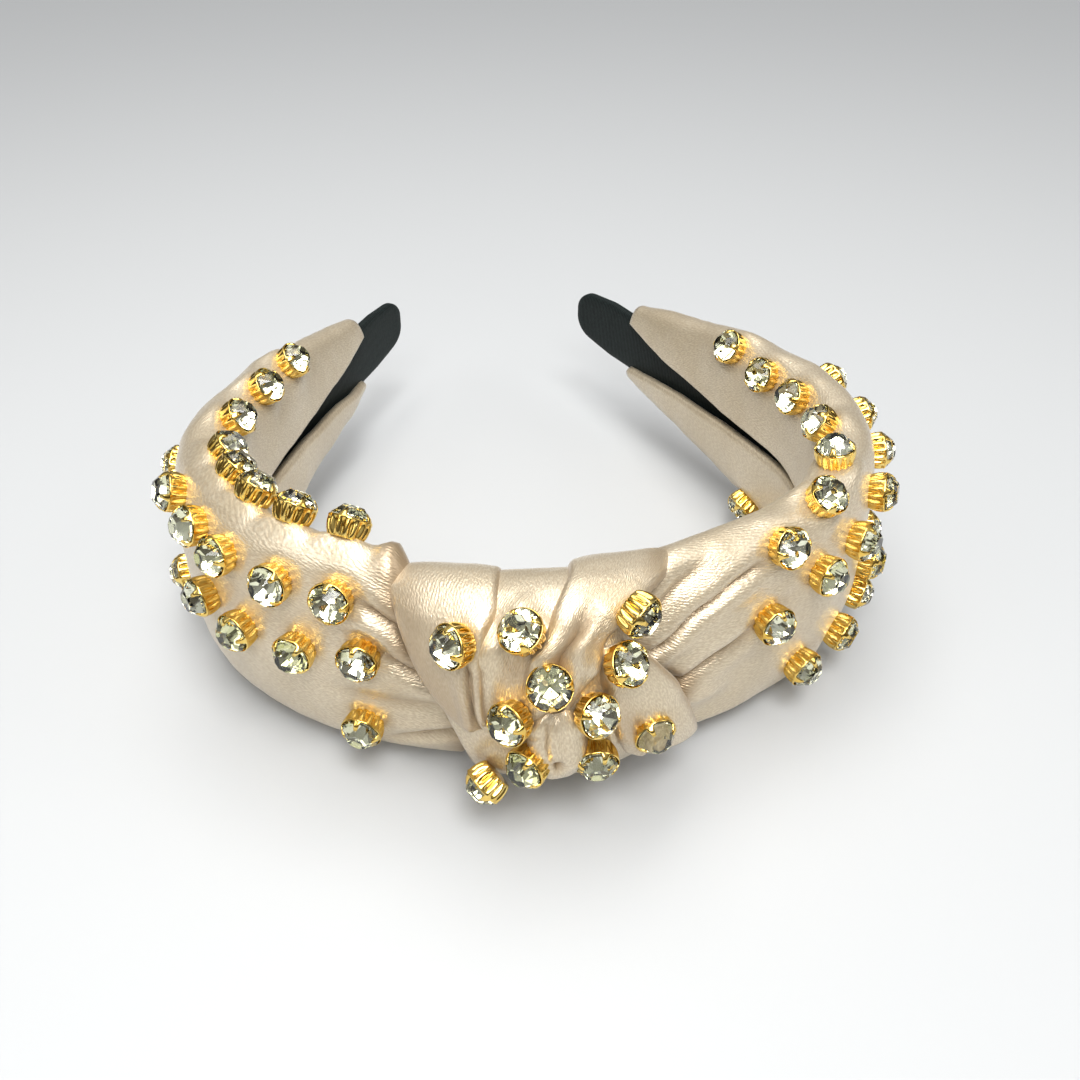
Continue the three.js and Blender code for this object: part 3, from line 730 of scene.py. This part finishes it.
# Creases: (distance along, millimetres round from the front) points, then a depth and a width.
ARM_CREASES = {
    "left": [
        ([(20, 9), (28, 13.1), (32, 15.6), (40, 19)], 1.9, 1.5),
        ([(20, 1.5), (25, 3.6), (28, 5.5), (38, 11)], 2.0, 1.6),
        ([(15, -9), (18, -9.7), (26, -13.3), (32, -17)], 1.3, 1.2),
        ([(18, -3), (30, -5), (42, -4)], 0.7, 1.8),
    ],
    "right": [
        ([(11, 5.8), (16, 8.5), (20, 12.2), (28, 15.7), (40, 19)], 2.2, 1.4),
        ([(14, -5), (18, -3.3), (24, 0.3), (30, 2.6), (42, 8)], 1.5, 1.8),
        ([(16, -18), (26, -19.5), (40, -20)], 1.1, 1.4),
        ([(12, 14), (18, 19), (26, 22)], 1.0, 1.6),
    ],
}
# Lumps: distance along, millimetres round, their two radii and their height.
ARM_BUMPS = {
    "left": [(29.5, 25, 2.6, 3.4, 1.9), (48, 18, 9, 5, 0.5)],
    "right": [(24, -7.5, 4.2, 2.4, 1.3), (22, 6.5, 7, 2.6, 0.7)],
}
# Where the knot's edge crosses each arm: degrees round the section, then distance along the band.
KNOT_EDGES = {
    "left": [(-115, 19), (-60, 17), (-21, 18.5), (1, 18.5), (14, 21.8), (34, 24.5), (64, 27.2),
             (96, 29.5), (130, 28)],
    "right": [(-115, 16), (-60, 18), (-30, 21), (-12, 18.6), (14, 13.2), (40, 7), (60, 8.5),
              (88, 16), (108, 19.5)],
}
# The shade beside the knot: how dark it is and how far it reaches.
KNOT_SHADE, KNOT_SHADE_REACH = 0.75, 4.0
# How far the satin is drawn in where it runs under the knot, and where that starts and ends.
KNOT_TUCK, TUCK_FADE = 2.6, (-3, 0.3)


def resampled(line, count):
    """The line's points again, evenly spaced, with their distances from its middle."""
    steps = np.linalg.norm(np.diff(line, axis=0), axis=1)
    length = np.concatenate([[0], np.cumsum(steps)])
    wanted = np.linspace(0, length[-1], count)
    points = np.stack([np.interp(wanted, length, line[:, i]) for i in range(line.shape[1])], -1)
    return points, wanted - length[-1] / 2


def slit_angle(station, column):
    """The angle at which the cover's section ends at the slit, on its upper or lower side."""
    share = cover_size(station, SLIT) / 2 / cover_size(station, column)
    return math.pi - math.asin(share ** (COVER_POWER / 2))


def cover_rows():
    """The distances along an arm, with each section's points and how far round each one is."""
    stations = np.arange(COVER_START, COVER_END + 0.01, COVER_STEP)
    sections, rounds = [], []
    for station in stations:
        angles = np.linspace(-slit_angle(station, DOWN), slit_angle(station, UP), SECTION_STEPS)
        line = np.stack(cover_section(station, angles), -1)
        points, spans = resampled(line, COVER_COLUMNS)
        sections.append(points)
        rounds.append(spans)
    return stations, np.array(sections), np.array(rounds)


def past_knot(name, along, section):
    """How far past the knot's edge each point of an arm's cover is, along the band."""
    edge = np.array(KNOT_EDGES[name])
    turn = np.degrees(np.arctan2(section[..., 1], section[..., 0]))
    return along - np.interp(turn, edge[:, 0], edge[:, 1])


def with_hems(section):
    """Each section with the rolled hems at its two ends, where the slit is."""
    low = [section[:, 0] + (reach, -rise) for reach, rise in HEM[:0:-1]]
    high = [section[:, -1] + (reach, rise) for reach, rise in HEM[1:]]
    return np.concatenate([np.stack(low, 1), section, np.stack(high, 1)], 1)


def cover_uvs(distances, spans):
    """Distance along the band and round the section, in millimetres, with the hems."""
    hem = len(HEM) - 1
    step = spans[:, -1:] - spans[:, -2:-1]
    before = spans[:, :1] - step * np.arange(hem, 0, -1)
    after = spans[:, -1:] + step * np.arange(1, hem + 1)
    return np.stack([distances, np.concatenate([before, spans, after], 1)], -1)


def add_arm_cover(name, side):
    stations, section, spans = cover_rows()
    tangent = np.gradient(section, axis=1)
    normal = np.stack([tangent[..., 1], -tangent[..., 0]], -1)
    normal /= np.linalg.norm(normal, axis=-1, keepdims=True)
    along = np.repeat(stations[:, None], COVER_COLUMNS, 1)
    skin = band_point(side * along, section[..., 0], section[..., 1])
    beyond = past_knot(name, along, section)
    drawn_in = crease_depth(along, spans, ARM_CREASES[name])
    lift = COVER_PUFF * (1 - smoothstep(*PUFF_FADE, along)) + ripples(skin, COVER_RIPPLES, (3.0 + side, 9.0))
    lift = lift - drawn_in + bump_height(along, spans, ARM_BUMPS[name])
    lift = lift - KNOT_TUCK * (1 - smoothstep(*TUCK_FADE, beyond))
    full = with_hems(section + normal * lift[..., None])
    distances = np.repeat(side * stations[:, None], full.shape[1], 1)
    points = seated(band_point(distances, full[..., 0], full[..., 1]))
    uvs = cover_uvs(distances, spans)
    # Painted shade in the arm's creases and on the satin beside the knot.
    beside_knot = KNOT_SHADE * (1 - smoothstep(0, KNOT_SHADE_REACH, beyond))
    shade = np.maximum(drawn_in / CREASE_FULL, beside_knot)
    shade = np.pad(shade, ((0, 0), (len(HEM) - 1, len(HEM) - 1)), mode="edge")
    order = slice(None) if side > 0 else slice(None, None, -1)
    cover = cloth_object(f"satin_cover_{name}", points[:, order], uvs[:, order], CLOTH_THICK,
                         creases=shade[:, order])
    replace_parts(cover, f"satin_cover_{name}", f"satin_gather_{name}")
    bend_at_joint(cover, side)


BEND_REACH = 2.6  # how far to each side of a flex line bend_at_joint's stretch reaches; nothing bends over it


def bend_at_joint(piece, side):
    """Bakes the piece's transform into its mesh; the ends of a short stretch of the band round the flex line
    are worked out, but the piece is not bent.
    """
    start, end = (place(band_point(side * (FLEX_AT + gap), 0, 0)) for gap in (-BEND_REACH, BEND_REACH))
    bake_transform(piece)


# ---- ribbon
RIBBON_COLUMNS = 44
RIBBON_START, RIBBON_STEP = 0.4, 1.5
RIBBON_ROUND = 6.5  # how far from its end the tip starts to round off
RIBBON_THICK = 0.35
RIBBON_HALF_ROUND = 18.4
# Powers of the rounded section, out and up, then those that close it at the tip, up and out.
RIBBON_POWERS, TIP_POWERS = (3.4, 6.0), (2.4, 6)
RIBBON_RIPPLE, RIBBON_RIPPLE_SHARES = (0.10, 0.2, 5.0), (0.3, 0.3, 1.0)


def ribbon_stations():
    """Distances along the ribbon, closer together round its tip."""
    straight = np.arange(RIBBON_START, RIBBON_END - RIBBON_ROUND, RIBBON_STEP)
    tip = RIBBON_END - RIBBON_ROUND * (1 - np.sin(np.linspace(0, 1.5, 12)))
    return np.concatenate([straight, tip])


def ribbon_points(stations, side):
    """The ribbon's skin: a flat rounded section that narrows and closes at the tip."""
    angles = np.linspace(-math.pi, math.pi, RIBBON_COLUMNS, endpoint=False)
    taper = np.interp(stations, [0, TIP_TAPER_START, RIBBON_END],
                      [RIBBON_HEIGHT, RIBBON_HEIGHT, TIP_HEIGHT])
    past = np.clip((stations - RIBBON_END + RIBBON_ROUND) / RIBBON_ROUND, 0, 0.999)
    half = taper / 2 * np.sqrt(1 - past ** TIP_POWERS[0])
    thick = RIBBON_HALF_THICK * np.sqrt(1 - past ** TIP_POWERS[1])
    out = thick[:, None] * signed_power(np.cos(angles), 2 / RIBBON_POWERS[0])[None]
    up = half[:, None] * signed_power(np.sin(angles), 2 / RIBBON_POWERS[1])[None]
    points = band_point(side * stations[:, None], out, up)
    height, fineness, seed = RIBBON_RIPPLE
    return points + height * ripple(points, fineness, seed)[..., None] * np.array(RIBBON_RIPPLE_SHARES)


def add_ribbon(name, side):
    stations = ribbon_stations()
    points = ribbon_points(stations, side)
    spans = np.linspace(-RIBBON_HALF_ROUND, RIBBON_HALF_ROUND, RIBBON_COLUMNS)
    uvs = np.stack(np.broadcast_arrays(stations[:, None], spans[None]), -1)
    if side > 0:
        points, uvs = points[:, ::-1], uvs[:, ::-1]
    ribbon = cloth_object(f"ribbon_wrap_{name}", points, uvs, RIBBON_THICK, closed=True, material=RIBBON)
    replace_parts(ribbon, f"ribbon_wrap_{name}", "ribbon_wrap_crown")
    bend_at_joint(ribbon, side)


# ---- knot
def spline(knots, count):
    """A smooth line through the knots, as count points."""
    knots = np.asarray(knots, float)
    padded = np.concatenate([[2 * knots[0] - knots[1]], knots, [2 * knots[-1] - knots[-2]]])
    t = np.linspace(0, len(knots) - 1 - 1e-9, count)
    i = t.astype(int)
    f = (t - i)[:, None]
    a, b, c, d = (padded[i + k] for k in range(4))
    curve = (2 * a - 5 * b + 4 * c - d) * f ** 2 + (3 * b - a - 3 * c + d) * f ** 3
    return 0.5 * (2 * b + (c - a) * f + curve)


# How far in from a fold's edge its line of painted shade reaches, and how dark that is.
EDGE_SHADE, EDGE_DARK = 1.3, 0.7
FOLD_RIPPLES = ((0.22, 0.11), (0.06, 0.35))
# How a fold's points crowd towards its edges, from 0 for evenly spread to 1.
EDGE_CROWDING = 0.35
# A fold's turned-under edge: how far in it reaches, and how far down.
FOLD_TUCKS = ((0.9, 0.9), (2.2, 1.3))
END_DROP_START = 0.88  # where along a fold its end starts to sink


def edge_drop(distance, radius):
    """How far a rolled edge of that radius has dropped, at a distance in from the edge."""
    inside = np.clip(radius - distance, 0, radius)
    return radius - np.sqrt(radius ** 2 - inside ** 2)


def along_fold(values, rows):
    """Values that are given evenly from a fold's start to its end, for each of its rows."""
    return np.interp(np.linspace(0, 1, rows), np.linspace(0, 1, len(values)), values)


def fold_grid(left, right, rows, columns):
    """A grid of (distance, degrees) between a fold's two edges, and each column's share across it."""
    edge_a, edge_b = spline(left, rows), spline(right, rows)
    share = 0.5 - 0.5 * np.cos(np.linspace(0, math.pi, columns))
    share = EDGE_CROWDING * share + (1 - EDGE_CROWDING) * np.linspace(0, 1, columns)
    where = edge_a[:, None] * (1 - share[None, :, None]) + edge_b[:, None] * share[None, :, None]
    return where, share[None]


def knot_skin(where, proud=0.0):
    return knot_point(where[..., 0], np.radians(where[..., 1]), proud)


def with_tucks(points, where, width, height):
    """The fold's points with its two edges turned under."""
    sides = []
    for edge, opposite in ((0, -1), (-1, 0)):
        rim = where[:, edge]
        inward = (where[:, opposite] - rim) / np.maximum(width, 1)[:, None]
        sides.append([knot_skin(rim + inward * reach, height[:, edge] - drop)[:, None]
                      for reach, drop in FOLD_TUCKS])
    return np.concatenate([sides[0][1], sides[0][0], points, *sides[1]], 1)


def fold_uvs(points, middle):
    """Millimetres along the fold's middle and across it."""
    steps = np.linalg.norm(np.diff(points, axis=1), axis=2).mean(0)
    spans = np.concatenate([[0], np.cumsum(steps)])
    lengths = np.linalg.norm(np.diff(points[:, middle], axis=0), axis=1)
    lengths = np.concatenate([[0], np.cumsum(lengths)])
    return np.stack(np.broadcast_arrays(lengths[:, None], spans[None]), -1)


def add_fold(name, left, right, lift, crown=0.8, roll=1.1, creases=(), dimples=(), shades=(),
             lean=(0,), rows=110, columns=56, seed=1.0, end_drop=0.0):
    """A band of satin over the knot, between two edges given as (distance, degrees) points.

    lift is how proud of the knot's skin it lies, from its start to its end, lean how much more it
    stands off at its right edge, and crown how much more in its middle. Its edges roll under.
    """
    where, share = fold_grid(left, right, rows, columns)
    skin = knot_skin(where)
    width = np.linalg.norm(skin[:, -1] - skin[:, 0], axis=1)
    from_left, from_right = share * width[:, None], (1 - share) * width[:, None]
    along = np.repeat(np.linspace(0, 1, rows)[:, None], columns, 1)
    across = (share - 0.5) * width[:, None]
    drawn_in = crease_depth(along, across, creases) + bump_height(along, across, dimples)
    height = along_fold(lift, rows)[:, None] + along_fold(lean, rows)[:, None] * share
    height = height + crown * (1 - (2 * share - 1) ** 4) - drawn_in
    height = height - 2 * edge_drop(from_left, roll) - 2 * edge_drop(from_right, roll)
    height = height + ripples(skin, FOLD_RIPPLES, (seed, seed + 4))
    height = height - end_drop * smoothstep(END_DROP_START, 1, along)
    points = seated(knot_skin(where, height), raise_only=True)
    points = with_tucks(points, where, width, height)
    # Painted shade along each fold's edges, in its creases and in its patches of shade.
    edges = 1 - smoothstep(0, EDGE_SHADE, np.minimum(from_left, from_right))
    shade = np.maximum(drawn_in / CREASE_FULL, EDGE_DARK * edges)
    shade = np.maximum(shade, bump_height(along, across, shades))
    shade = np.pad(shade, ((0, 0), (len(FOLD_TUCKS), len(FOLD_TUCKS))), mode="edge")
    fold = cloth_object(name, points, fold_uvs(points, columns // 2), CLOTH_THICK, creases=shade)
    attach(fold, "crown")
    return fold


# The knot's folds, from the inside out: each one's name and CAD node, and its add_fold settings.
# Edges are (distance, degrees) points from its start to its end. Creases are (share along, mm across)
# points, a depth and a width. Dimples and shades are a place, two radii and a depth or darkness.
KNOT_FOLDS = [
    ("knot_inner_wrap", "knot_wrap_centre", {
        "left": [(-22, 178), (-22, 120), (-22, 90), (-20, 70), (-19, 49), (-20, 10), (-17, -21),
                 (-15, -55), (-18, -98), (-21, -150), (-22, -182)],
        "right": [(14, 178), (13, 120), (13, 90), (10, 70), (8, 49), (12, 10), (16, -21),
                  (15, -55), (15, -98), (14, -150), (14, -182)],
        "lift": [-0.2, -0.3, -0.6, -1.0, -0.8, -0.5, -0.4, -0.2, -0.2],
        "rows": 170, "columns": 90, "seed": 2.0,
    }),
    ("knot_wrap_left", "knot_wrap_left", {
        "left": [(-22, 250), (-25, 178), (-28, 130), (-29.5, 96), (-27.2, 64), (-24.5, 34),
                 (-21.8, 14), (-18.5, 1), (-16.2, -3), (-13.8, -6)],
        "right": [(-10, 250), (-10, 178), (-10.4, 130), (-10.9, 95), (-11.2, 66), (-12.2, 41),
                  (-13, 27), (-13, 14), (-12.8, 5), (-11.8, -3)],
        "lift": [0.2, 0.4, 0.8, 1.2, 1.3, 1.2, 1.2, 1.2, 1.0, 0.3],
        "seed": 3.0, "end_drop": 1.0, "roll": 0.9,
        "creases": [([(0.94, 0.2), (0.86, 1.2), (0.70, 3.1), (0.54, 4.6)], 2.4, 0.8)],
        "shades": [(0.80, -2, 0.22, 6, 0.55), (0.56, -6, 0.18, 3.5, 0.5)],
    }),
    ("knot_wrap_centre", "knot_wrap_centre", {
        "left": [(-14, 178), (-14, 120), (-14.5, 90), (-15, 70), (-16, 54), (-17, 37), (-17, 19),
                 (-16, 10), (-14, -2), (-10, -14)],
        "right": [(5, 178), (5, 120), (5, 92), (3, 70), (2, 58), (0.5, 45), (-1.5, 30), (-2, 14),
                  (-1.5, -2), (-2, -14)],
        "lift": [-0.4, -0.3, -0.2, 0, 0, 0.1, 0.3, 0.4, 0.3, -0.4],
        "seed": 4.0, "end_drop": 1.0,
        "creases": [([(0.98, 1.5), (0.85, 2.2), (0.66, 3.2)], 1.0, 1.2),
                    ([(0.35, -1.5), (0.6, -3), (0.85, -3.4)], -1.1, 2.2)],
        "shades": [(0.72, 4.0, 0.2, 2.6, 0.7)],
    }),
    ("knot_wrap_right", "knot_wrap_right", {
        "left": [(0, 250), (0, 178), (1, 130), (0.4, 96), (-1.2, 80), (-3, 62), (-4, 44), (-6.5, 30),
                 (-7.2, 18), (-6.8, 8), (-6.0, -2)],
        "right": [(16, 250), (19, 178), (20.5, 130), (19.5, 108), (16, 88), (10.5, 69), (7, 55),
                  (4.2, 44), (2.8, 30), (1.2, 19), (-2, 4)],
        "lift": [0.2, 0.5, 1.2, 1.9, 2.1, 2.0, 1.9, 1.8, 1.5, 1.0, 0.2],
        "seed": 5.0, "end_drop": 1.0, "roll": 1.0,
        "creases": [([(0.98, 0.2), (0.82, -0.6), (0.66, -1.8), (0.48, -2.2)], 1.7, 1.5)],
        "shades": [(0.60, -1.6, 0.12, 3.0, 0.75), (0.36, 7.5, 0.1, 2.6, 0.5)],
    }),
    ("knot_fold_lower_right", "knot_fold_lower_right", {
        "left": [(3.0, 38), (3.3, 21), (4.8, 6), (5.8, -4), (6.6, -13), (7.5, -21)],
        "right": [(6.8, 40), (10, 28.5), (13.2, 14), (16, 2), (18.6, -12), (21, -33)],
        "lift": [0.2, 1.0, 1.4, 1.7, 1.9, 2.0],
        "lean": [0, 0.2, 0.3, 0.5, 0.9, 1.4],
        "rows": 70, "columns": 44, "seed": 6.0, "roll": 0.7,
        "creases": [([(0.98, -3.2), (0.8, -3.0), (0.55, -2.4)], 1.6, 0.9)],
        "shades": [(0.70, -3.6, 0.25, 2.2, 0.65)],
    }),
    ("knot_tongue", "knot_tongue", {
        "left": [(-4.2, 7), (-6.2, 1), (-6.6, -5), (-5.8, -15), (-3.9, -27)],
        "right": [(-1.6, 7), (0.4, 2), (1.2, -4), (1.2, -13), (-0.6, -25)],
        "lift": [0.4, 2.0, 2.9, 3.1, 2.0],
        "rows": 90, "columns": 60, "seed": 7.0, "crown": 1.5, "roll": 1.2, "end_drop": 1.2,
        "creases": [([(0.15, -1.2), (0.45, -1.9), (0.7, -1.7)], 0.7, 0.6)],
        "dimples": [(0.70, -0.4, 0.06, 0.8, 3.2)],
    }),
]


def add_knot():
    for name, stands_for, settings in KNOT_FOLDS:
        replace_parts(add_fold(name, **settings), stands_for)


def add_cloth():
    for name, side in SIDES:
        add_arm_cover(name, side)
        add_ribbon(name, side)
    add_knot()


add_cloth()


# ---- CAD nodes that stay
CAD_MATERIALS = (("core", PLASTIC), ("foam", FOAM), ("ribbon", RIBBON))


def finish_cad_nodes():
    """Gives every CAD node a material, though only the core strips and the foam still show."""
    for name, part in frame["nodes"].items():
        material = next((material for word, material in CAD_MATERIALS if word in name), SATIN)
        part.data.materials.clear()
        part.data.materials.append(material)


finish_cad_nodes()


# ---- stage, light and camera
CAMERA_PLACE = (-24.2, -145.5, 138.4)
CAMERA_FORWARD = (0.1086, 0.7861, -0.6085)
CAMERA_ROLL, CAMERA_LENS = 0.72, 36.84
SUN_POWER, SUN_SPREAD, SUN_WAY = 1.7, 24, (-0.10, 0.40, -1.0)
LIGHT_AIM = (0, -0.01, 0.02)
# Area lights: name, place and size in metres, power in watts and colour.
AREA_LIGHTS = [
    ("overhead_window", (-0.06, 0.02, 0.50), (0.46, 0.26), 1.6, (1.0, 0.985, 0.96)),
    ("front_window", (-0.05, -0.40, 0.46), (0.30, 0.18), 1.5, (1, 1, 1)),
    ("left_window", (-0.46, -0.22, 0.40), (0.20, 0.30), 0.35, (1, 1, 1)),
    ("side_window", (0.50, -0.12, 0.40), (0.20, 0.30), 0.45, (1, 1, 1)),
]
FLOOR_REACH, FLOOR_COLOUR = 3.0, (0.51, 0.52, 0.525)
# The studio's colours from below the floor's edge, at 0, up to straight above, at 1.
WORLD_COLOURS = [
    (0.0, (0.10, 0.085, 0.07)), (0.30, (0.26, 0.24, 0.22)), (0.62, (0.80, 0.82, 0.85)), (1.0, (1, 1, 1)),
]
WORLD_STRENGTH = 0.50


def add_camera():
    data = bpy.data.cameras.new("camera")
    data.sensor_width = 36
    data.lens = CAMERA_LENS
    data.clip_start = 0.005
    camera = scene_object("camera", data)
    position = Vector(place(CAMERA_PLACE))
    forward = Vector(CAMERA_FORWARD).normalized()
    turned = forward.to_track_quat("-Z", "Y").to_matrix().to_4x4()
    roll = Matrix.Rotation(math.radians(CAMERA_ROLL), 4, "Z")
    camera.matrix_world = Matrix.Translation(position) @ turned @ roll
    bpy.context.scene.camera = camera


def add_area_light(name, position, size, power, colour):
    data = bpy.data.lights.new(name, "AREA")
    data.shape = "RECTANGLE"
    data.size, data.size_y = size
    data.energy = power
    data.color = colour
    light = scene_object(name, data)
    light.location = position
    way = Vector(LIGHT_AIM) - Vector(position)
    light.rotation_euler = way.to_track_quat("-Z", "Y").to_euler()


def add_sun():
    """The broad soft light from above, a little in front of the band."""
    data = bpy.data.lights.new("studio_sky", "SUN")
    data.energy = SUN_POWER
    data.angle = math.radians(SUN_SPREAD)
    light = scene_object("studio_sky", data)
    light.rotation_euler = Vector(SUN_WAY).to_track_quat("-Z", "Y").to_euler()


def add_floor():
    corners = [(x * FLOOR_REACH, y * FLOOR_REACH, 0) for x, y in ((-1, -1), (1, -1), (1, 1), (-1, 1))]
    floor = new_object("floor", corners, [(0, 1, 2, 3)])
    material, _, shader = new_material("pale_floor")
    set_inputs(shader, Base_Color=(*FLOOR_COLOUR, 1), Roughness=0.5)
    floor.data.materials.append(material)


def add_world():
    """A studio that is bright above and darker towards the horizon, with a warm tint low down."""
    world = bpy.data.worlds.new("studio")
    bpy.context.scene.world = world
    world.use_nodes = True
    tree = world.node_tree
    background = next(n for n in tree.nodes if n.type == "BACKGROUND")
    where = node(tree, "ShaderNodeTexCoord")
    split = node(tree, "ShaderNodeSeparateXYZ", {"Vector": where.outputs["Generated"]})
    colour = colour_ramp(tree, split.outputs["Z"], WORLD_COLOURS)
    tree.links.new(colour, background.inputs["Color"])
    background.inputs["Strength"].default_value = WORLD_STRENGTH


add_camera()
add_floor()
add_world()
add_sun()
for light_settings in AREA_LIGHTS:
    add_area_light(*light_settings)
bpy.context.scene.view_settings.view_transform = "Standard"
